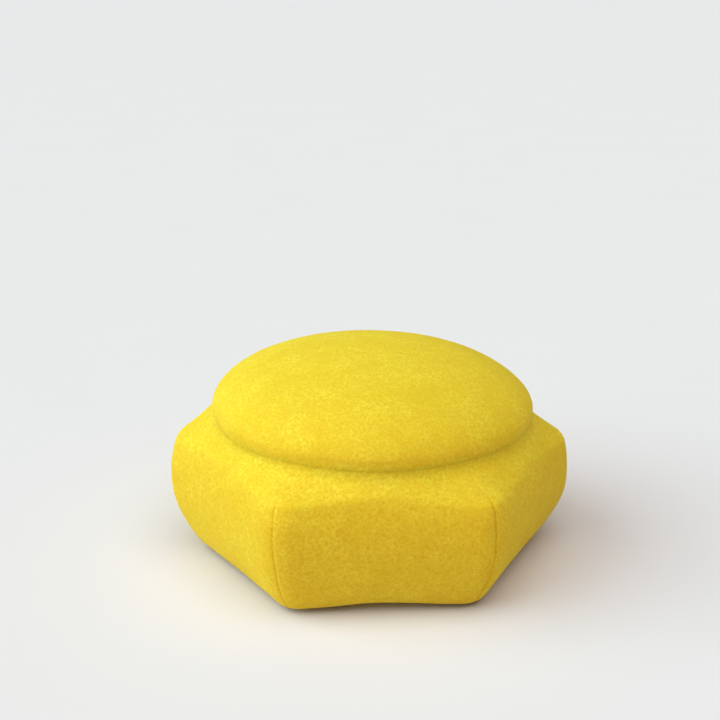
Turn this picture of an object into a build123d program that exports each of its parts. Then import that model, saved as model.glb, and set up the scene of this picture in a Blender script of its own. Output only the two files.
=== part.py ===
"""Hexagonal foam sponge brush with a domed palm grip and a pull-off working pad."""

from build123d import *
import os

os.makedirs("parts", exist_ok=True)

# Driving dimensions, in millimetres.
# The tool stands on its working pad at height 0. Two flats of the hexagon face
# -Y and +Y, two corners point along -X and +X, and the palm grip is on top.

# Sponge body: a hexagonal barrel whose sides are arcs above and below the belly
across_flats = 89.0  # at the belly, the widest section
body_height = 33.5  # lower rim to top face
belly_height = 20.0  # lower rim to belly
flank_inset = 6.6  # how far a side draws in from the belly down to the rim
shoulder_inset = 6.4  # how far a side draws in from the belly up to the top face
corner_radius = 8.8  # rounding of the six upright corners
rim_radius = 2.0  # rounding round the lower rim
top_edge_radius = 1.2  # rounding round the top face

# Palm grip: a low dome on a short wall that leans out over its foot
foot_margin = 1.0  # top face left between the grip's foot and the middle of a side
grip_overhang = 2.0  # how far the grip's widest ring stands out past its foot
grip_wall_height = 3.6
crown_height = 13.5
crown_fullness = 0.56  # 0.55 makes the crown an ellipse, and more makes it fuller

# Pocket under the body, and the working pad that plugs into it
pocket_wall = 7.0  # foam between the pocket and the middle of a side, at the rim
pad_clearance = 0.4  # pad to pocket wall, on each side
pad_thickness = 9.0
pad_stand = 1.0  # how far the pad stands below the body's rim
pad_corner_radius = 6.0
pad_edge_radius = 1.2

# Hook-and-loop fastening between the pad and the backing plate
hook_thickness = 1.2
loop_thickness = 1.2
sheet_margin = 1.0  # how far both sheets stay inside the pad's outline
hook_gap = 0.3  # the hook tips stand into the loops across this gap

# Backing plate
plate_thickness = 2.5
plate_clearance = 0.15  # plate to pocket wall, on each side

# Grip core: a flange with a cored-out hub above and three screw bosses below
flange_cover = 7.1  # foam round the flange, at the grip's foot
flange_thickness = 2.5
hub_radius = 14.0
hub_height = 6.0  # above the flange
hub_edge_radius = 2.5
core_wall = 2.0
boss_radius = 5.0
boss_edge = 5.0  # flange left outside each boss
boss_count = 3
boss_clearance = 0.3  # boss to its hole in the foam

# Countersunk screws that clamp the plate, the body and the grip core together
screw_radius = 2.0
screw_length = 14.0  # head face to tip
screw_head_radius = 3.9
screw_tip_chamfer = 0.8
plate_hole_clearance = 0.25
pilot_clearance = 0.05  # screw to boss bore
pilot_spare = 1.5  # bore left beyond the screw's tip
drive_span = 4.4  # cross recess, end to end
drive_width = 1.0
drive_depth = 1.4

# Heights and outlines that follow from them, from the floor up
rim_level = pad_stand
belly_level = rim_level + belly_height
top_level = rim_level + body_height
loop_level = pad_thickness
hook_level = loop_level + loop_thickness + hook_gap
plate_level = hook_level + hook_thickness
pocket_roof = plate_level + plate_thickness
grip_wall_top = top_level + grip_wall_height

half_flats = across_flats / 2
grip_foot_radius = half_flats - shoulder_inset - foot_margin
grip_radius = grip_foot_radius + grip_overhang
flange_radius = grip_foot_radius - flange_cover
boss_pitch_radius = flange_radius - boss_edge - boss_radius
pocket_flats = across_flats - 2 * (flank_inset + pocket_wall)
pocket_corner_radius = pad_corner_radius + pad_clearance
pad_flats = pocket_flats - 2 * pad_clearance
sheet_flats = pad_flats - 2 * sheet_margin
sheet_corner_radius = pad_corner_radius - sheet_margin
plate_flats = pocket_flats - 2 * plate_clearance
plate_corner_radius = pocket_corner_radius - plate_clearance
pilot_depth = screw_length - plate_thickness + pilot_spare


def rounded_hexagon(flats, radius):
    """Draw a hexagon, given across its flats, with a flat facing -Y and rounded corners."""
    RegularPolygon(radius=flats / 2, side_count=6, major_radius=False)
    fillet(vertices(), radius)


# Half of the body's upright section across two opposite flats, mirrored to a whole one
with BuildSketch() as barrel_section:
    with BuildLine():
        Line((0, rim_level), (half_flats - flank_inset, rim_level))
        TangentArc(
            (half_flats, belly_level),
            (half_flats - flank_inset, rim_level),
            tangent=(0, -1),
        )
        TangentArc(
            (half_flats, belly_level),
            (half_flats - shoulder_inset, top_level),
            tangent=(0, 1),
        )
        Line((half_flats - shoulder_inset, top_level), (0, top_level))
        Line((0, top_level), (0, rim_level))
    make_face()
    mirror(about=Plane.YZ)

# Half of the grip core's outer section: the flange and the hub on it
with BuildSketch() as core_section:
    with BuildLine():
        Polyline(
            (0, top_level),
            (flange_radius, top_level),
            (flange_radius, top_level + flange_thickness),
            (hub_radius, top_level + flange_thickness),
            (hub_radius, top_level + flange_thickness + hub_height),
            (0, top_level + flange_thickness + hub_height),
            close=True,
        )
    make_face()
    hub_edge = vertices().group_by(Axis.Y)[-1].sort_by(Axis.X)[-1]
    fillet(hub_edge, hub_edge_radius)

# Half of the palm grip's section: foot, leaning wall and crown
with BuildSketch() as grip_section:
    with BuildLine():
        Line((0, top_level), (grip_foot_radius, top_level))
        TangentArc(
            (grip_radius, grip_wall_top),
            (grip_foot_radius, top_level),
            tangent=(0, -1),
        )
        Bezier(
            (grip_radius, grip_wall_top),
            (grip_radius, grip_wall_top + crown_fullness * crown_height),
            (crown_fullness * grip_radius, grip_wall_top + crown_height),
            (0, grip_wall_top + crown_height),
        )
        Line((0, grip_wall_top + crown_height), (0, top_level))
    make_face()

# Sponge body: where three barrels cross, one for each pair of opposite flats
with BuildPart() as sponge_body:
    for turn in (0, 60, 120):
        flat_normal = Vector(0, 1, 0).rotate(Axis.Z, turn)
        along_flat = Vector(1, 0, 0).rotate(Axis.Z, turn)
        with BuildSketch(Plane(origin=(0, 0, 0), x_dir=flat_normal, z_dir=along_flat)):
            add(barrel_section.sketch)
        extrude(
            amount=across_flats,
            both=True,
            mode=Mode.ADD if turn == 0 else Mode.INTERSECT,
        )
    upright_corners = edges().filter_by(
        lambda edge: Vector(edge.center().X, edge.center().Y, 0).length > half_flats
    )
    fillet(upright_corners, corner_radius)
    fillet(edges().group_by(Axis.Z)[0], rim_radius)
    fillet(edges().group_by(Axis.Z)[-1], top_edge_radius)
    # Pocket for the plate and the pad
    with BuildSketch(Plane.XY.offset(rim_level)):
        rounded_hexagon(pocket_flats, pocket_corner_radius)
    extrude(amount=pocket_roof - rim_level, mode=Mode.SUBTRACT)
    # Holes for the bosses of the grip core
    with BuildSketch(Plane.XY.offset(pocket_roof)):
        with PolarLocations(boss_pitch_radius, boss_count):
            Circle(boss_radius + boss_clearance)
    extrude(amount=top_level - pocket_roof, mode=Mode.SUBTRACT)

# Grip core
with BuildPart() as grip_core:
    with BuildSketch(Plane.XZ):
        add(core_section.sketch)
    revolve(axis=Axis.Z)
    # Hub cored out from below
    with BuildSketch(Plane.XY.offset(top_level)):
        Circle(hub_radius - core_wall)
    extrude(amount=flange_thickness + hub_height - core_wall, mode=Mode.SUBTRACT)
    # Bosses down to the backing plate
    with BuildSketch(Plane.XY.offset(pocket_roof)):
        with PolarLocations(boss_pitch_radius, boss_count):
            Circle(boss_radius)
    extrude(amount=top_level - pocket_roof)
    # Blind bores for the screws
    with BuildSketch(Plane.XY.offset(pocket_roof)):
        with PolarLocations(boss_pitch_radius, boss_count):
            Circle(screw_radius + pilot_clearance)
    extrude(amount=pilot_depth, mode=Mode.SUBTRACT)

# Palm grip, moulded round the core
with BuildPart() as palm_grip:
    with BuildSketch(Plane.XZ):
        add(grip_section.sketch)
        add(core_section.sketch, mode=Mode.SUBTRACT)
    revolve(axis=Axis.Z)

# Backing plate
with BuildPart() as backing_plate:
    with BuildSketch(Plane.XY.offset(plate_level)):
        rounded_hexagon(plate_flats, plate_corner_radius)
    extrude(amount=plate_thickness)
    with Locations(Plane(origin=(0, 0, plate_level), x_dir=(1, 0, 0), z_dir=(0, 0, -1))):
        with PolarLocations(boss_pitch_radius, boss_count):
            CounterSinkHole(
                radius=screw_radius + plate_hole_clearance,
                counter_sink_radius=screw_head_radius,
                counter_sink_angle=90,
            )

# Screws: one on the centre line, then its copies under the bosses
with BuildPart() as centre_screw:
    with BuildSketch(Plane.XZ):
        with BuildLine():
            Polyline(
                (0, plate_level),
                (screw_head_radius, plate_level),
                (screw_radius, plate_level + screw_head_radius - screw_radius),
                (screw_radius, plate_level + screw_length - screw_tip_chamfer),
                (screw_radius - screw_tip_chamfer, plate_level + screw_length),
                (0, plate_level + screw_length),
                close=True,
            )
        make_face()
    revolve(axis=Axis.Z)
    with BuildSketch(Plane.XY.offset(plate_level)):
        SlotOverall(drive_span, drive_width)
        SlotOverall(drive_span, drive_width, rotation=90)
    extrude(amount=drive_depth, mode=Mode.SUBTRACT)

with BuildPart() as plate_screws:
    with PolarLocations(boss_pitch_radius, boss_count):
        add(centre_screw.part)

# Hook sheet, glued under the backing plate
with BuildPart() as hook_sheet:
    with BuildSketch(Plane.XY.offset(hook_level)):
        rounded_hexagon(sheet_flats, sheet_corner_radius)
    extrude(amount=hook_thickness)

# Loop sheet, laminated to the working pad
with BuildPart() as loop_sheet:
    with BuildSketch(Plane.XY.offset(loop_level)):
        rounded_hexagon(sheet_flats, sheet_corner_radius)
    extrude(amount=loop_thickness)

# Working pad
with BuildPart() as sponge_pad:
    with BuildSketch():
        rounded_hexagon(pad_flats, pad_corner_radius)
    extrude(amount=pad_thickness)
    fillet(edges().group_by(Axis.Z)[0], pad_edge_radius)

sub_parts = {
    "palm_grip": palm_grip,
    "grip_core": grip_core,
    "sponge_body": sponge_body,
    "backing_plate": backing_plate,
    "plate_screws": plate_screws,
    "hook_sheet": hook_sheet,
    "loop_sheet": loop_sheet,
    "sponge_pad": sponge_pad,
}
for name, sub_part in sub_parts.items():
    sub_part.part.label = name
    export_step(sub_part.part, f"parts/{name}.step")
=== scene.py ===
"""Looks of a hexagonal foam sponge brush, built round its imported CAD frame."""

import math

import bmesh
import bpy
import numpy as np
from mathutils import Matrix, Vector, noise


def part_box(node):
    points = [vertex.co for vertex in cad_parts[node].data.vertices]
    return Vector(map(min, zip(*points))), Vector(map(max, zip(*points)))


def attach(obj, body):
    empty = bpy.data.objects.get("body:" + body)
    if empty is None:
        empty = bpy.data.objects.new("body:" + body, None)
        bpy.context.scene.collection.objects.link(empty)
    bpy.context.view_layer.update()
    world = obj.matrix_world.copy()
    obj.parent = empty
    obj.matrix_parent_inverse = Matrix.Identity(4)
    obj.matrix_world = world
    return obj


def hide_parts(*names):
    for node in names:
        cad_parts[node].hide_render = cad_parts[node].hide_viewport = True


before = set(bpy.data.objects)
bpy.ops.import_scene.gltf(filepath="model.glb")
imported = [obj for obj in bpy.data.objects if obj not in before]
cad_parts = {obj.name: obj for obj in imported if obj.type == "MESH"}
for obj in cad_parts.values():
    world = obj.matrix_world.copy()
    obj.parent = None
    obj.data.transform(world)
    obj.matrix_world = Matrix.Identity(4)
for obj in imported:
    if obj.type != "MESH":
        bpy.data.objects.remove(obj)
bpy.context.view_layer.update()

MM = 0.001

# Places taken from the frame
BODY_LOW, BODY_HIGH = (np.array(corner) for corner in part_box("sponge_body"))
GRIP_LOW, GRIP_HIGH = (np.array(corner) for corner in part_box("palm_grip"))
CORE_LOW, CORE_HIGH = (np.array(corner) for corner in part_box("grip_core"))
PLATE_LOW, PLATE_HIGH = (np.array(corner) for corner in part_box("backing_plate"))
HOOK_LOW, HOOK_HIGH = (np.array(corner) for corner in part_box("hook_sheet"))
LOOP_LOW, LOOP_HIGH = (np.array(corner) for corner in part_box("loop_sheet"))
PAD_LOW, PAD_HIGH = (np.array(corner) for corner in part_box("sponge_pad"))

HALF_FLATS = BODY_HIGH[1]
RIM = BODY_LOW[2]
BODY_TOP = BODY_HIGH[2]

# Shape of the foam body's sides
BELLY = RIM + 20.0 * MM
FLANK_INSET = 6.6 * MM
SHOULDER_CURVE_RADIUS = 23.0 * MM  # how the sides draw in above the belly
EDGE_HEIGHT = 9.8 * MM  # belly to the shoulder's edge, in the middle of a side
EDGE_DROP = 1.9 * MM  # how much lower the shoulder's edge is at a corner
EDGE_TILT = 1.2 * MM  # and how much lower it lies on the +X side than on the axis
EDGE_SOFTNESS = 1.1 * MM  # half the length over which the edge is rounded
CORNER_RADIUS = 8.8 * MM
CORNER_TIGHTENING = 0.48  # how much a corner's radius shrinks for each unit of inset
RIM_RADIUS = 2.5 * MM
# Lift of the rim in the middle of each side, anticlockwise from the +X corner
RIM_BOWS = [0.35 * MM, 0.7 * MM, 0.35 * MM, 0.35 * MM, 1.0 * MM, 0.35 * MM]
RIM_BOW_HEIGHT = 7.0 * MM  # how far up the side the lift dies out
BULGE_SHIFT = 0.2 * MM  # how far the sides stand off the axis, towards +X
BULGE_FULLNESS = 0.45 * MM  # how far the -X and +X corners stand out
BULGE_HEIGHT = RIM + 13.0 * MM
BULGE_REACH = 5.5 * MM

# Soft crease where the body's foam meets the grip's wall
CREASE_LEVEL = BODY_TOP - 0.2 * MM
CREASE_LIP = 3.0 * MM  # how far the body's foam climbs up the grip's wall
CREASE_LEAN = 0.55 * MM  # and how far it follows the wall outwards
CREASE_SOFTNESS = 2.7 * MM  # half the length over which the crease is rounded
BACK_LIFT = 3.2 * MM  # how much higher the crease lies at the back, on the -X side
BACK_LIFT_PLACE = math.radians(150)

# Shares of the shoulder's section, from the lip to the belly
SECTION_STEPS = 241
EDGE_SHARES = (0.2, 0.32)  # the edge's rounding fades in between these
CREASE_SHARES = (0.44, 0.34)  # and the crease's rounding fades out between these

# Parting grooves on the six corners, anticlockwise from +X
GROOVE_DEPTHS = [0.4 * MM, 0.4 * MM, 0.4 * MM, 0.4 * MM, 0.2 * MM, 0.5 * MM]
GROOVE_HALF_WIDTH = 0.32 * MM
GROOVE_TOP = BELLY + 8.8 * MM
GROOVE_FADE = 1.6 * MM

# Palm grip
GRIP_RADIUS = GRIP_HIGH[0] + 0.5 * MM
GRIP_FOOT_RADIUS = GRIP_RADIUS - 0.8 * MM
GRIP_LEAN_HEIGHT = 3.4 * MM  # the wall leans out over the foot up to here
GRIP_WALL_HEIGHT = 3.7 * MM
CROWN_WIDTH_POWER = 2.12
CROWN_RISE_POWER = 1.82
GRIP_SHIFT = 0.6 * MM  # how far the foot stands off the axis, towards +X
CROWN_SHIFT = -1.3 * MM  # and the crown's top

# Unevenness of the moulded skin: wavelengths and amplitudes
SKIN_LAYERS = [(26 * MM, 0.22 * MM), (7 * MM, 0.07 * MM), (1.6 * MM, 0.03 * MM)]

# Pocket under the body
POCKET_HALF_FLATS = PLATE_HIGH[1] + 0.15 * MM
POCKET_CORNER_RADIUS = 6.4 * MM
POCKET_MOUTH_RADIUS = 0.8 * MM
BOSS_HOLE_RADIUS = 5.3 * MM
BOSS_PITCH_RADIUS = 20.0 * MM
BOSS_COUNT = 3

# Grip core, as the palm grip's foam is moulded round it
FLANGE_RADIUS = CORE_HIGH[0]
FLANGE_THICKNESS = 2.5 * MM
HUB_RADIUS = 14.0 * MM


# ---------------------------------------------------------------- geometry helpers

def hexagon_radius(angles, half_flats, corner_radius):
    """Distance from the axis to a rounded hexagon with a flat facing -Y."""
    turn = np.mod(angles + math.pi / 2, math.pi / 3)
    turn = np.where(turn > math.pi / 6, math.pi / 3 - turn, turn)
    on_flat = np.tan(turn) * half_flats <= (half_flats - corner_radius) * math.tan(math.pi / 6)
    centre = (half_flats - corner_radius) / math.cos(math.pi / 6)
    to_corner = math.pi / 6 - turn
    chord = np.maximum(corner_radius ** 2 - (centre * np.sin(to_corner)) ** 2, 0)
    on_corner = centre * np.cos(to_corner) + np.sqrt(chord)
    return np.where(on_flat, half_flats / np.cos(turn), on_corner)


def ring(angles, radius, level):
    """One closed row of points round the axis."""
    row = np.zeros((len(angles), 3))
    row[:, 0] = radius * np.cos(angles)
    row[:, 1] = radius * np.sin(angles)
    row[:, 2] = level
    return row


def skin_of(rings):
    """Quads between neighbouring rings, and a fan over the first and last ones."""
    count = len(rings[0])
    points = np.concatenate(rings)
    index = np.arange(len(points)).reshape(len(rings), count)
    here = index[:-1]
    there = index[1:]
    quads = np.stack(
        [here, np.roll(here, -1, 1), np.roll(there, -1, 1), there], axis=2
    ).reshape(-1, 4)
    first = rings[0].mean(axis=0)
    last = rings[-1].mean(axis=0)
    hub_first = len(points)
    hub_last = hub_first + 1
    points = np.concatenate([points, [first, last]])
    start = index[0]
    end = index[-1]
    fan_first = np.stack([np.full(count, hub_first), np.roll(start, -1), start], axis=1)
    fan_last = np.stack([np.full(count, hub_last), end, np.roll(end, -1)], axis=1)
    return points, quads, np.concatenate([fan_first, fan_last])


def mesh_object(name, points, quads, triangles):
    """A smooth-shaded object with outward normals."""
    mesh = bpy.data.meshes.new(name)
    faces = [tuple(face) for face in quads.tolist()] + [tuple(face) for face in triangles.tolist()]
    mesh.from_pydata(points.tolist(), [], faces)
    work = bmesh.new()
    work.from_mesh(mesh)
    bmesh.ops.recalc_face_normals(work, faces=work.faces)
    work.to_mesh(mesh)
    work.free()
    mesh.shade_smooth()
    piece = bpy.data.objects.new(name, mesh)
    bpy.context.scene.collection.objects.link(piece)
    return piece


def smooth_step(value):
    """0 below 0, 1 above 1 and smooth between."""
    share = np.clip(value, 0, 1)
    return share * share * (3 - 2 * share)


def unevenness(points, layers, seed):
    """A height for each point: layers are (wavelength, amplitude) pairs of noise."""
    total = np.zeros(len(points))
    for wavelength, amplitude in layers:
        shift = Vector((seed * 1.7, seed * 0.9, seed * 2.3))
        values = [noise.noise(Vector(point) / wavelength + shift) for point in points]
        total += amplitude * np.array(values)
    return total


def outward_normals(points, quads):
    """A unit normal for each point, the mean of its faces' normals."""
    corners = points[quads]
    across = np.cross(corners[:, 2] - corners[:, 0], corners[:, 3] - corners[:, 1])
    normals = np.zeros_like(points)
    for corner in range(4):
        np.add.at(normals, quads[:, corner], across)
    normals /= np.maximum(np.linalg.norm(normals, axis=1, keepdims=True), 1e-12)
    middle = points.mean(axis=0)
    facing = np.sum(normals * (points - middle), axis=1).mean()
    return normals if facing > 0 else -normals


def roughened(points, quads, seed, where):
    """Points moved along their normals by the skin's unevenness, and not where `where` is 0."""
    height = unevenness(points, SKIN_LAYERS, seed) * where
    return points + outward_normals(points, quads) * height[:, None]


def cut_with(piece, tools):
    """Boolean-subtract the tools from a piece, then delete them."""
    for tool in tools:
        modifier = piece.modifiers.new("cut", "BOOLEAN")
        modifier.operation = "DIFFERENCE"
        modifier.solver = "MANIFOLD"
        modifier.object = tool
        with bpy.context.temp_override(object=piece, active_object=piece, selected_objects=[piece]):
            bpy.ops.object.modifier_apply(modifier=modifier.name)
    for tool in tools:
        bpy.data.objects.remove(tool)


# ---------------------------------------------------------------- foam body

def corner_angles(step_count, fine_reach, fine_step):
    """Even angles, with extra ones close to the six corners for the fine grooves."""
    even = np.linspace(0, 2 * math.pi, step_count, endpoint=False)
    near = np.arange(-fine_reach, fine_reach + fine_step / 2, fine_step)
    corners = np.arange(6) * math.pi / 3
    fine = (corners[:, None] + near[None, :]).ravel()
    off_corner = np.abs(np.mod(even + math.pi / 6, math.pi / 3) - math.pi / 6)
    kept = even[off_corner > fine_reach + fine_step]
    return np.sort(np.mod(np.concatenate([kept, fine]), 2 * math.pi))


def body_outline(angles, inset):
    """The body's rounded hexagon, drawn in by `inset` from the belly."""
    radius = max(CORNER_RADIUS - CORNER_TIGHTENING * inset, 1 * MM)
    return hexagon_radius(angles, HALF_FLATS - inset, radius)


def grip_foot(angles):
    """Distance from the axis to the grip's foot, which stands slightly off it."""
    return GRIP_SHIFT * np.cos(angles) + GRIP_FOOT_RADIUS


def softened(radii, levels, softness, shares):
    """Sections with even steps, averaged over `softness` each way from shares[0] on to shares[1]."""
    lengths = np.hypot(np.diff(radii, axis=0), np.diff(levels, axis=0))
    along = np.concatenate([np.zeros((1, radii.shape[1])), np.cumsum(lengths, axis=0)])
    steps = np.linspace(0, 1, SECTION_STEPS)
    even = np.empty((2, len(steps), radii.shape[1]))
    for column in range(radii.shape[1]):
        places = steps * along[-1, column]
        even[0, :, column] = np.interp(places, along[:, column], radii[:, column])
        even[1, :, column] = np.interp(places, along[:, column], levels[:, column])
    reach = max(int(softness / (along[-1].mean() / (len(steps) - 1))), 1)
    padded = np.pad(even, ((0, 0), (reach, reach), (0, 0)), mode="reflect", reflect_type="odd")
    total = sum(padded[:, shift : shift + len(steps)] for shift in range(2 * reach + 1))
    weight = smooth_step((steps - shares[0]) / (shares[1] - shares[0]))[None, :, None]
    return even * (1 - weight) + total / (2 * reach + 1) * weight


def shoulder_section(angles, mid_side):
    """Radii and levels from the lip on the grip's wall, over the shoulder, to the belly."""
    foot = grip_foot(angles)
    edge_level = BELLY + EDGE_HEIGHT - EDGE_DROP * (1 - mid_side) - EDGE_TILT * np.cos(angles)
    insets = np.linspace(0, 14 * MM, 561)
    outlines = np.stack([body_outline(angles, inset) for inset in insets])
    columns = np.arange(len(angles))

    def side_radius(level):
        inset = (level - BELLY) ** 2 / (2 * SHOULDER_CURVE_RADIUS)
        place = np.clip(inset / (insets[1] - insets[0]), 0, len(insets) - 1.001)
        low = place.astype(int)
        part = place - low
        return outlines[low, columns] * (1 - part) + outlines[low + 1, columns] * part

    lift_share = smooth_step((np.cos(angles - BACK_LIFT_PLACE) - 0.4) / 0.6)
    crease_level = CREASE_LEVEL + BACK_LIFT * lift_share
    radii = [foot + CREASE_LEAN * (1 - lift_share), foot]
    levels = [crease_level + CREASE_LIP * (1 - 0.5 * lift_share), crease_level]
    for share in np.linspace(0, 1, 41):
        level = edge_level * (1 - share) + BELLY * share
        radii.append(side_radius(level))
        levels.append(level)
    radii, levels = np.stack(radii), np.stack(levels)
    radii, levels = softened(radii, levels, EDGE_SOFTNESS, EDGE_SHARES)
    radii, levels = softened(radii, levels, CREASE_SOFTNESS, CREASE_SHARES)
    middle = SECTION_STEPS // 2
    kept = np.concatenate([np.arange(0, middle, 2), np.arange(middle, SECTION_STEPS, 5)])
    return radii[kept], levels[kept]


def body_rings(angles):
    """Rings from the hidden middle of the top, over the outside, to the pocket's roof."""
    off_side = np.mod(angles + math.pi / 6, math.pi / 3) - math.pi / 6
    mid_side = 0.5 - 0.5 * np.cos(off_side * 6)  # 0 at corners, 1 at the middle of a side
    rings = []
    hidden = GRIP_FOOT_RADIUS - 3 * MM
    for radius in (2 * MM, hidden / 2, hidden):
        rings.append(ring(angles, radius, GRIP_LOW[2]))
    radii, levels = shoulder_section(angles, mid_side)
    for radius, level in zip(radii, levels):
        rings.append(ring(angles, radius, level))

    # Flank, from just under the belly to where the rim's rounding starts
    reach = BELLY - RIM
    flank_radius = (reach ** 2 + FLANK_INSET ** 2) / (2 * FLANK_INSET)
    rim_across = math.sqrt((flank_radius - RIM_RADIUS) ** 2 - (reach - RIM_RADIUS) ** 2)
    rim_turn = math.atan2(reach - RIM_RADIUS, rim_across)
    rim_centre_inset = flank_radius - rim_across
    flank_rings = 46
    for step in range(1, flank_rings + 1):
        turn = rim_turn * step / flank_rings
        inset = flank_radius * (1 - math.cos(turn))
        level = BELLY - flank_radius * math.sin(turn)
        rings.append(ring(angles, body_outline(angles, inset), level))
    rim_rings = 9
    for step in range(1, rim_rings + 1):
        turn = rim_turn + (math.pi / 2 - rim_turn) * step / rim_rings
        inset = rim_centre_inset - RIM_RADIUS * math.cos(turn)
        level = RIM + RIM_RADIUS - RIM_RADIUS * math.sin(turn)
        rings.append(ring(angles, body_outline(angles, inset), level))

    # Underside, the pocket's rounded mouth, its wall and its roof
    under = body_outline(angles, rim_centre_inset)
    mouth = hexagon_radius(angles, POCKET_HALF_FLATS, POCKET_CORNER_RADIUS)
    mouth_out = mouth + POCKET_MOUTH_RADIUS
    under_rings = 10
    for step in range(1, under_rings + 1):
        share = step / under_rings
        rings.append(ring(angles, under * (1 - share) + mouth_out * share, RIM))
    for turn in np.linspace(0, math.pi / 2, 6)[1:]:
        radius = mouth_out - POCKET_MOUTH_RADIUS * math.sin(turn)
        level = RIM + POCKET_MOUTH_RADIUS * (1 - math.cos(turn))
        rings.append(ring(angles, radius, level))
    roof = PLATE_HIGH[2]
    wall_rings = 16
    for step in range(1, wall_rings + 1):
        level = RIM + POCKET_MOUTH_RADIUS
        level += (roof - level) * step / wall_rings
        rings.append(ring(angles, mouth, level))
    for share in (0.5, 0.05):
        rings.append(ring(angles, mouth * share, roof))

    # Grooves on the corners, and the lifted middle of each side's rim
    nearest_corner = np.mod(np.rint(angles / (math.pi / 3)), 6).astype(int)
    groove_depth = np.array(GROOVE_DEPTHS)[nearest_corner]
    side = np.mod(np.floor(angles / (math.pi / 3)), 6).astype(int)
    rim_bow = np.array(RIM_BOWS)[side] * mid_side
    for row in rings:
        radius = np.hypot(row[:, 0], row[:, 1])
        outside = radius > mouth + 3 * MM
        across = off_side * radius
        groove = np.exp(-((across / GROOVE_HALF_WIDTH) ** 2))
        fade = smooth_step((GROOVE_TOP - row[:, 2]) / GROOVE_FADE)
        fade = fade * smooth_step((row[:, 2] - RIM) / GROOVE_FADE)
        inward = np.where(outside, groove_depth * groove * fade, 0)
        row[:, 0] -= inward * np.cos(angles)
        row[:, 1] -= inward * np.sin(angles)
        bulge = np.exp(-(((row[:, 2] - BULGE_HEIGHT) / BULGE_REACH) ** 2))
        fuller = BULGE_SHIFT + BULGE_FULLNESS * np.sign(row[:, 0]) * np.cos(angles) ** 4
        row[:, 0] += np.where(outside, fuller * bulge, 0)
        near_rim = 1 - smooth_step((row[:, 2] - RIM) / RIM_BOW_HEIGHT)
        row[:, 2] += np.where(outside, rim_bow * near_rim, 0)
    return rings


def make_body():
    angles = corner_angles(step_count=720, fine_reach=0.026, fine_step=0.0016)
    points, quads, triangles = skin_of(body_rings(angles))
    radius = np.hypot(points[:, 0], points[:, 1])
    turns = np.arctan2(points[:, 1], points[:, 0])
    mouth = hexagon_radius(turns, POCKET_HALF_FLATS, POCKET_CORNER_RADIUS)
    off_grip = smooth_step((radius - grip_foot(turns)) / (2.5 * MM))
    seen = np.where(points[:, 2] > BODY_TOP - 3 * MM, off_grip, radius > mouth + 1.2 * MM)
    points = roughened(points, quads, seed=3, where=seen)
    piece = mesh_object("sponge_body_foam", points, quads, triangles)
    tools = []
    for step in range(BOSS_COUNT):
        turn = 2 * math.pi * step / BOSS_COUNT
        x = BOSS_PITCH_RADIUS * math.cos(turn)
        y = BOSS_PITCH_RADIUS * math.sin(turn)
        bpy.ops.mesh.primitive_cylinder_add(
            vertices=64,
            radius=BOSS_HOLE_RADIUS,
            depth=4 * (BODY_TOP - PLATE_HIGH[2]),
            location=(x, y, BODY_TOP),
        )
        tools.append(bpy.context.object)
    cut_with(piece, tools)
    return piece


# ---------------------------------------------------------------- palm grip

def make_grip():
    angles = np.linspace(0, 2 * math.pi, 720, endpoint=False)
    foot = GRIP_LOW[2]
    foot_rise = CREASE_LEVEL - foot
    wall_top = foot + GRIP_WALL_HEIGHT + foot_rise
    crown = GRIP_HIGH[2] - wall_top
    hidden_rings = 6
    flange_top = foot + FLANGE_THICKNESS
    rings = []
    # Inside, round the grip core, from the hub's top to the foot
    for radius, level in (
        (0.5 * MM, CORE_HIGH[2]),
        (HUB_RADIUS, CORE_HIGH[2]),
        (HUB_RADIUS, flange_top),
        (FLANGE_RADIUS, flange_top),
        (FLANGE_RADIUS, foot),
        (GRIP_FOOT_RADIUS - 2 * MM, foot),
    ):
        rings.append(ring(angles, radius, level))
    # Wall, from the foot up to where the crown starts
    wall_rings = 16
    for step in range(wall_rings + 1):
        height = (GRIP_WALL_HEIGHT + foot_rise) * step / wall_rings
        lean = math.sin(math.pi / 2 * min(height / GRIP_LEAN_HEIGHT, 1))
        radius = GRIP_FOOT_RADIUS + (GRIP_RADIUS - GRIP_FOOT_RADIUS) * lean
        rings.append(ring(angles, radius, foot + height))
    # Crown
    crown_rings = 110
    for step in range(1, crown_rings):
        share = math.sin(math.pi / 2 * (1 - step / crown_rings))
        rise = (1 - share ** CROWN_WIDTH_POWER) ** (1 / CROWN_RISE_POWER)
        rings.append(ring(angles, GRIP_RADIUS * share, wall_top + crown * rise))
    for row in rings[hidden_rings:]:
        rise = smooth_step((row[:, 2] - foot) / (wall_top + crown - foot))
        row[:, 0] += GRIP_SHIFT * (1 - rise) + CROWN_SHIFT * rise
    points, quads, triangles = skin_of(rings)
    seen = smooth_step((points[:, 2] - CREASE_LEVEL - CREASE_LIP) / (1.5 * MM))
    seen[: hidden_rings * len(angles)] = 0
    points = roughened(points, quads, seed=8, where=seen)
    return mesh_object("palm_grip_foam", points, quads, triangles)


# ---------------------------------------------------------------- working pad

PAD_CORNER_RADIUS = 6.0 * MM
PAD_EDGE_RADIUS = 1.2 * MM
PORE_LAYERS = [(1.7 * MM, 0.50 * MM), (0.8 * MM, 0.22 * MM)]  # spacing and depth
PORE_REACH = 0.62  # of the spacing, from a pore's middle to its edge


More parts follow.
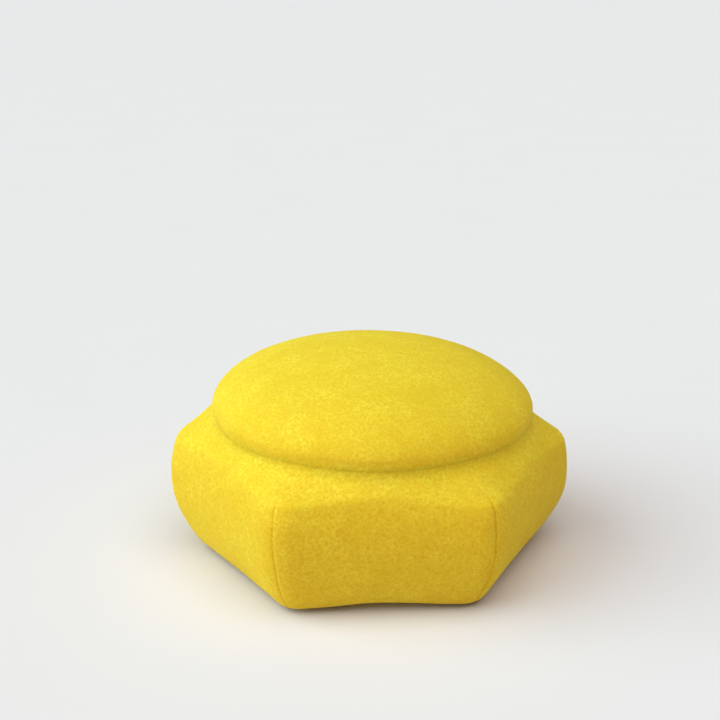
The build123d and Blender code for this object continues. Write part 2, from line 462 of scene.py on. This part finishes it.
def make_pad():
    """Open-cell foam, with real pits on its working face and its sides."""
    angles = np.linspace(0, 2 * math.pi, 720, endpoint=False)
    outline = hexagon_radius(angles, PAD_HIGH[1], PAD_CORNER_RADIUS)
    rings = [ring(angles, outline * share, PAD_HIGH[2]) for share in (0.05, 0.5)]
    hidden_rings = len(rings)
    for level in np.linspace(PAD_HIGH[2], PAD_EDGE_RADIUS, 24):
        rings.append(ring(angles, outline, level))
    for turn in np.linspace(0, math.pi / 2, 7)[1:]:
        radius = outline - PAD_EDGE_RADIUS * (1 - math.cos(turn))
        rings.append(ring(angles, radius, PAD_EDGE_RADIUS * (1 - math.sin(turn))))
    flat = outline - PAD_EDGE_RADIUS
    for share in np.linspace(1, 0.01, 96)[1:]:
        rings.append(ring(angles, flat * share, PAD_LOW[2]))
    points, quads, triangles = skin_of(rings)
    depth = np.zeros(len(points))
    for spacing, deepest in PORE_LAYERS:
        nearest = np.array([noise.voronoi(Vector(point) / spacing)[0][0] for point in points])
        depth += deepest * smooth_step(1 - nearest / PORE_REACH)
    depth[: hidden_rings * len(angles)] = 0
    depth *= smooth_step((PAD_HIGH[2] - points[:, 2]) / (1.0 * MM))
    normals = outward_normals(points, quads)
    return mesh_object("sponge_pad_foam", points - normals * depth[:, None], quads, triangles)


# ---------------------------------------------------------------- hook and loop

TAPE_BASE = 0.5 * MM
TAPE_CORNER_RADIUS = 5.0 * MM
HOOK_PITCH = 1.9 * MM
LOOP_PITCH = 1.35 * MM
HOOK_WIRE_RADIUS = 0.11 * MM
LOOP_WIRE_RADIUS = 0.07 * MM
HOOK_BEND_RADIUS = 0.22 * MM
LOOP_HALF_WIDTH = 0.45 * MM
PILE_MARGIN = 1.0 * MM


def joined(parts):
    """Several (points, quads, triangles) sets as one."""
    points, quads, triangles, count = [], [], [], 0
    for some_points, some_quads, some_triangles in parts:
        points.append(some_points)
        quads.append(some_quads + count)
        triangles.append(some_triangles + count)
        count += len(some_points)
    return np.concatenate(points), np.concatenate(quads), np.concatenate(triangles)


def wire(path, radius):
    """A five-sided wire along a path in the XZ plane."""
    along = np.gradient(path, axis=0)
    along /= np.linalg.norm(along, axis=1, keepdims=True)
    side = np.array([0.0, 1.0, 0.0])
    rings = []
    for place, heading in zip(path, along):
        turns = np.arange(5) * 2 * math.pi / 5
        upward = np.cross(heading, side)
        rings.append(place + radius * (np.outer(np.cos(turns), side) + np.outer(np.sin(turns), upward)))
    return skin_of(rings)


def planted(shape, half_flats, pitch, level):
    """Copies of a shape on a staggered grid inside the tape's outline, each turned its own way."""
    points, quads, triangles = shape
    reach = int(half_flats * 1.2 / pitch)
    copies = []
    for row in range(-reach, reach + 1):
        for column in range(-reach, reach + 1):
            x = (column + 0.5 * (row % 2)) * pitch
            y = row * pitch * math.sqrt(3) / 2
            heading = np.array([math.atan2(y, x)])
            edge = hexagon_radius(heading, half_flats - PILE_MARGIN, TAPE_CORNER_RADIUS)
            if math.hypot(x, y) > edge[0]:
                continue
            turn = (row * 7 + column * 13) * 2.4
            turned = points.copy()
            turned[:, 0] = points[:, 0] * math.cos(turn) - points[:, 1] * math.sin(turn) + x
            turned[:, 1] = points[:, 0] * math.sin(turn) + points[:, 1] * math.cos(turn) + y
            turned[:, 2] += level
            copies.append((turned, quads, triangles))
    return copies


def tape_base(half_flats, low, high):
    """The tape's plain hexagonal backing, between two levels."""
    angles = np.linspace(0, 2 * math.pi, 360, endpoint=False)
    outline = hexagon_radius(angles, half_flats, TAPE_CORNER_RADIUS)
    places = ((0.05, low), (0.5, low), (1, low), (1, high), (0.5, high), (0.05, high))
    return skin_of([ring(angles, outline * share, level) for share, level in places])


def make_hooks():
    """The tape under the backing plate: a base with hooks that point down."""
    base_low = HOOK_HIGH[2] - TAPE_BASE
    length = base_low - HOOK_LOW[2]
    turns = np.linspace(0, math.radians(215), 7)
    bend = HOOK_BEND_RADIUS
    straight = length - bend
    stem = [(0, 0, 0.05 * MM), (0, 0, -straight / 2)]
    curl = [(bend - bend * math.cos(turn), 0, -straight - bend * math.sin(turn)) for turn in turns]
    hook = wire(np.array(stem + curl), HOOK_WIRE_RADIUS)
    parts = [tape_base(HOOK_HIGH[1], base_low, HOOK_HIGH[2])]
    parts += planted(hook, HOOK_HIGH[1], HOOK_PITCH, base_low)
    return mesh_object("hook_tape", *joined(parts))


def make_loops():
    """The fleece laminated to the pad: a base with a pile of small loops."""
    base_high = LOOP_LOW[2] + TAPE_BASE
    height = LOOP_HIGH[2] - base_high
    turns = np.linspace(math.radians(-20), math.radians(200), 9)
    across = LOOP_HALF_WIDTH * np.cos(turns)
    upward = height * (0.3 + 0.7 * np.sin(turns)) - 0.02 * MM
    loop = wire(np.stack([across, np.zeros(len(turns)), upward], axis=1), LOOP_WIRE_RADIUS)
    parts = [tape_base(LOOP_HIGH[1], LOOP_LOW[2], base_high)]
    parts += planted(loop, LOOP_HIGH[1], LOOP_PITCH, base_high)
    return mesh_object("loop_fleece", *joined(parts))


# ---------------------------------------------------------------- materials

LIGHT_YELLOW = (0.86, 0.68, 0.055)
DEEP_YELLOW = (0.74, 0.50, 0.018)
PALE_YELLOW = (0.92, 0.80, 0.20)


def new_material(name):
    material = bpy.data.materials.new(name)
    material.use_nodes = True
    tree = material.node_tree
    shader = tree.nodes["Principled BSDF"]
    return material, tree, shader


def place_coordinates(tree):
    """Object coordinates in millimetres, the same for every piece."""
    source = tree.nodes.new("ShaderNodeTexCoord")
    scale = tree.nodes.new("ShaderNodeVectorMath")
    scale.operation = "SCALE"
    scale.inputs["Scale"].default_value = 1 / MM
    tree.links.new(source.outputs["Object"], scale.inputs[0])
    return scale.outputs["Vector"]


def noise_of(tree, where, frequency, detail=2.0, roughness=0.5):
    """A noise value, with its frequency per millimetre."""
    node = tree.nodes.new("ShaderNodeTexNoise")
    node.inputs["Scale"].default_value = frequency
    node.inputs["Detail"].default_value = detail
    node.inputs["Roughness"].default_value = roughness
    tree.links.new(where, node.inputs["Vector"])
    return node.outputs["Fac"]


def stretched(tree, value, low, high, out_low=0.0, out_high=1.0):
    """A value moved from the range low..high to out_low..out_high."""
    node = tree.nodes.new("ShaderNodeMapRange")
    node.inputs["From Min"].default_value = low
    node.inputs["From Max"].default_value = high
    node.inputs["To Min"].default_value = out_low
    node.inputs["To Max"].default_value = out_high
    tree.links.new(value, node.inputs["Value"])
    return node.outputs["Result"]


def mixed(tree, share, first, second, blend="MIX"):
    """Two colours blended by a share; each is an RGB tuple or a socket."""
    node = tree.nodes.new("ShaderNodeMix")
    node.data_type = "RGBA"
    node.blend_type = blend
    tree.links.new(share, node.inputs["Factor"])
    for socket, colour in (("A", first), ("B", second)):
        target = [entry for entry in node.inputs if entry.name == socket and entry.type == "RGBA"][0]
        if isinstance(colour, tuple):
            target.default_value = (*colour, 1)
        else:
            tree.links.new(colour, target)
    return [entry for entry in node.outputs if entry.type == "RGBA"][0]


def bumped(tree, value, strength, distance, onto=None):
    """A normal tilted by a height, on top of another normal if one is given."""
    node = tree.nodes.new("ShaderNodeBump")
    node.inputs["Strength"].default_value = strength
    node.inputs["Distance"].default_value = distance
    tree.links.new(value, node.inputs["Height"])
    if onto is not None:
        tree.links.new(onto, node.inputs["Normal"])
    return node.outputs["Normal"]


def upward_share(tree):
    """How far a surface faces up: 1 for a level top, 0 for an upright side."""
    source = tree.nodes.new("ShaderNodeTexCoord")
    split = tree.nodes.new("ShaderNodeSeparateXYZ")
    tree.links.new(source.outputs["Normal"], split.inputs[0])
    return split.outputs["Z"]


def foam_material(name, pore_share, pore_tint, painted_side_shade):
    """Skinned moulded foam: a fine grain over soft patches, a few pale specks, and painted shade that
    darkens and warms the upright sides.
    """
    material, tree, shader = new_material(name)
    where = place_coordinates(tree)
    grain = noise_of(tree, where, 1.5, 2.0, 0.55)
    mottle = noise_of(tree, where, 0.4, 2.0, 0.5)
    patches = noise_of(tree, where, 0.1, 2.0, 0.5)
    middle = tuple((a + b) / 2 for a, b in zip(LIGHT_YELLOW, DEEP_YELLOW))
    by_patch = mixed(tree, stretched(tree, patches, 0.3, 0.7), middle, LIGHT_YELLOW)
    by_mottle = mixed(tree, stretched(tree, mottle, 0.62, 0.34, 0.0, 0.4), by_patch, DEEP_YELLOW)
    by_grain = mixed(tree, stretched(tree, grain, 0.62, 0.38, 0.0, 0.8), by_mottle, DEEP_YELLOW)
    pores = noise_of(tree, where, 1.05, 1.0)
    pore_darkness = stretched(tree, pores, 0.45, 0.3, 0.0, pore_share)
    in_pores = mixed(tree, pore_darkness, by_grain, pore_tint, "MULTIPLY")
    specks = noise_of(tree, where, 1.9, 0.0)
    by_speck = mixed(tree, stretched(tree, specks, 0.70, 0.80, 0.0, 0.15), in_pores, PALE_YELLOW)
    # Painted shade: the more upright a surface is, the more its colour is multiplied by the painted side
    # shade, which makes the sides darker and warmer than the tops.
    painted_shade_share = stretched(tree, upward_share(tree), 0.6, 0.1)
    colour = mixed(tree, painted_shade_share, by_speck, painted_side_shade, "MULTIPLY")
    tree.links.new(colour, shader.inputs["Base Color"])
    tree.links.new(stretched(tree, mottle, 0.3, 0.7, 0.85, 0.97), shader.inputs["Roughness"])
    coarse = bumped(tree, mottle, 0.35, 0.10 * MM)
    fine = bumped(tree, grain, 0.5, 0.05 * MM, onto=coarse)
    tree.links.new(fine, shader.inputs["Normal"])
    shader.inputs["Subsurface Weight"].default_value = 0.6
    shader.inputs["Subsurface Radius"].default_value = (1.0, 0.4, 0.05)
    shader.inputs["Subsurface Scale"].default_value = 3.5 * MM
    shader.inputs["Specular IOR Level"].default_value = 0.12
    return material


def plastic_material(name, light, deep):
    """Moulded plastic: faint flow marks and a fine eroded texture."""
    material, tree, shader = new_material(name)
    where = place_coordinates(tree)
    flow = noise_of(tree, where, 0.08, 2.0)
    grain = noise_of(tree, where, 2.5, 2.0)
    colour = mixed(tree, stretched(tree, flow, 0.35, 0.65), deep, light)
    tree.links.new(colour, shader.inputs["Base Color"])
    tree.links.new(stretched(tree, grain, 0.3, 0.7, 0.38, 0.52), shader.inputs["Roughness"])
    tree.links.new(bumped(tree, grain, 0.3, 0.02 * MM), shader.inputs["Normal"])
    return material


def steel_material(name):
    """Zinc-plated steel with a little tarnish."""
    material, tree, shader = new_material(name)
    where = place_coordinates(tree)
    tarnish = noise_of(tree, where, 0.6, 3.0)
    grain = noise_of(tree, where, 4.0, 2.0)
    colour = mixed(tree, stretched(tree, tarnish, 0.35, 0.7), (0.62, 0.62, 0.60), (0.48, 0.47, 0.44))
    tree.links.new(colour, shader.inputs["Base Color"])
    tree.links.new(stretched(tree, grain, 0.3, 0.7, 0.25, 0.42), shader.inputs["Roughness"])
    tree.links.new(bumped(tree, grain, 0.2, 0.01 * MM), shader.inputs["Normal"])
    shader.inputs["Metallic"].default_value = 1.0
    return material


def fibre_material(name, light, deep):
    """Nylon hooks, loops and the woven base they stand in."""
    material, tree, shader = new_material(name)
    where = place_coordinates(tree)
    weave = noise_of(tree, where, 1.8, 2.0)
    fuzz = noise_of(tree, where, 6.0, 1.0)
    colour = mixed(tree, stretched(tree, weave, 0.35, 0.65), deep, light)
    tree.links.new(colour, shader.inputs["Base Color"])
    tree.links.new(stretched(tree, fuzz, 0.3, 0.7, 0.55, 0.8), shader.inputs["Roughness"])
    tree.links.new(bumped(tree, fuzz, 0.4, 0.03 * MM), shader.inputs["Normal"])
    shader.inputs["Sheen Weight"].default_value = 0.3
    return material


def floor_material():
    material, tree, shader = new_material("floor_paint")
    where = place_coordinates(tree)
    cloud = noise_of(tree, where, 0.02, 2.0)
    colour = mixed(tree, cloud, (0.775, 0.750, 0.785), (0.795, 0.770, 0.805))
    tree.links.new(colour, shader.inputs["Base Color"])
    shader.inputs["Roughness"].default_value = 0.9
    shader.inputs["Specular IOR Level"].default_value = 0.1
    return material


# ---------------------------------------------------------------- stage, lights, camera

FLOOR_SIZE = 80
FLOOR_DROP = 0.3 * MM  # keeps the floor clear of the pad's working face
KEY_LIGHT = ((-0.90, -0.16, 0.58), 66, 2.70, (0.83, 1.0, 1.0))
FILL_LIGHT = ((0.12, -0.38, 1.0), 60, 1.74, (1.0, 0.965, 0.90))
WORLD_COLOUR = (1.0, 0.94, 0.88)
WORLD_STRENGTH = 0.15

VIEW_AZIMUTH = math.radians(-3.8)
AXIS_ELEVATION = math.radians(18.7)
CAMERA_DISTANCE = 0.3374
AIM_RIGHT = -2.65 * MM
AIM_UP = 29.4 * MM
FOCUS_HEIGHT = RIM + 16.5 * MM
LENS = 66.5
SENSOR_WIDTH = 36


def make_stage():
    bpy.ops.mesh.primitive_plane_add(size=FLOOR_SIZE, location=(0, 0, -FLOOR_DROP))
    floor = bpy.context.object
    floor.name = "floor"
    floor.data.materials.append(floor_material())


def soft_light(name, direction, spread, strength, colour):
    """Even light from one side, softened by the lamp's wide angle in degrees."""
    data = bpy.data.lights.new(name, "SUN")
    data.angle = math.radians(spread)
    data.energy = strength
    data.color = colour
    lamp = bpy.data.objects.new(name, data)
    lamp.location = Vector(direction)
    lamp.rotation_euler = Vector(direction).to_track_quat("Z", "Y").to_euler()
    bpy.context.scene.collection.objects.link(lamp)


def make_lights():
    soft_light("key", *KEY_LIGHT)
    soft_light("fill", *FILL_LIGHT)
    world = bpy.data.worlds.new("studio")
    bpy.context.scene.world = world
    world.use_nodes = True
    background = world.node_tree.nodes["Background"]
    background.inputs["Color"].default_value = (*WORLD_COLOUR, 1)
    background.inputs["Strength"].default_value = WORLD_STRENGTH


def make_camera():
    level = math.cos(AXIS_ELEVATION)
    forward = Vector(
        (
            -math.sin(VIEW_AZIMUTH) * level,
            math.cos(VIEW_AZIMUTH) * level,
            -math.sin(AXIS_ELEVATION),
        )
    )
    right = forward.cross(Vector((0, 0, 1))).normalized()
    up = right.cross(forward)
    aim = Vector((0, 0, FOCUS_HEIGHT)) + right * AIM_RIGHT + up * AIM_UP
    data = bpy.data.cameras.new("camera")
    data.lens = LENS
    data.sensor_width = SENSOR_WIDTH
    data.clip_start = 0.01
    camera = bpy.data.objects.new("camera", data)
    camera.location = aim - forward * CAMERA_DISTANCE
    camera.rotation_euler = (-forward).to_track_quat("Z", "Y").to_euler()
    bpy.context.scene.collection.objects.link(camera)
    bpy.context.scene.camera = camera


# ---------------------------------------------------------------- assembly

def finish_piece(piece, material, body, node):
    """Give a piece its material, its moving body and the CAD node that it replaces."""
    piece.data.materials.clear()
    piece.data.materials.append(material)
    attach(piece, body)
    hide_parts(node)


# The last colour is painted shade, multiplied into the body's upright sides.
body_material = foam_material("body_foam_skin", 0.5, (0.90, 0.80, 0.6), (0.965, 0.88, 0.80))
body_piece = make_body()
finish_piece(body_piece, body_material, "tool", "sponge_body")

# The last colour is painted shade, multiplied into the grip's upright sides.
grip_material = foam_material("grip_foam_skin", 0.35, (0.94, 0.88, 0.7), (1.0, 0.93, 0.88))
grip_piece = make_grip()
finish_piece(grip_piece, grip_material, "tool", "palm_grip")

# The last colour is painted shade, multiplied into the pad's upright sides.
pad_material = foam_material("pad_foam_open", 1.0, (0.80, 0.68, 0.4), (0.94, 0.90, 0.86))
pad_piece = make_pad()
finish_piece(pad_piece, pad_material, "refill_pad", "sponge_pad")

loop_piece = make_loops()
loop_material = fibre_material("loop_fleece_fibre", (0.80, 0.79, 0.75), (0.66, 0.65, 0.61))
finish_piece(loop_piece, loop_material, "refill_pad", "loop_sheet")

hook_piece = make_hooks()
hook_material = fibre_material("hook_tape_nylon", (0.11, 0.11, 0.12), (0.07, 0.07, 0.08))
finish_piece(hook_piece, hook_material, "tool", "hook_sheet")

for node, material in (
    ("grip_core", plastic_material("core_plastic_moulded", (0.13, 0.13, 0.14), (0.105, 0.105, 0.11))),
    ("backing_plate", plastic_material("plate_plastic_moulded", (0.64, 0.65, 0.66), (0.59, 0.60, 0.61))),
    ("plate_screws", steel_material("screw_steel_plated")),
):
    cad_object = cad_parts[node]
    cad_object.data.materials.clear()
    cad_object.data.materials.append(material)

make_stage()
make_lights()
make_camera()
bpy.context.scene.view_settings.view_transform = "Standard"
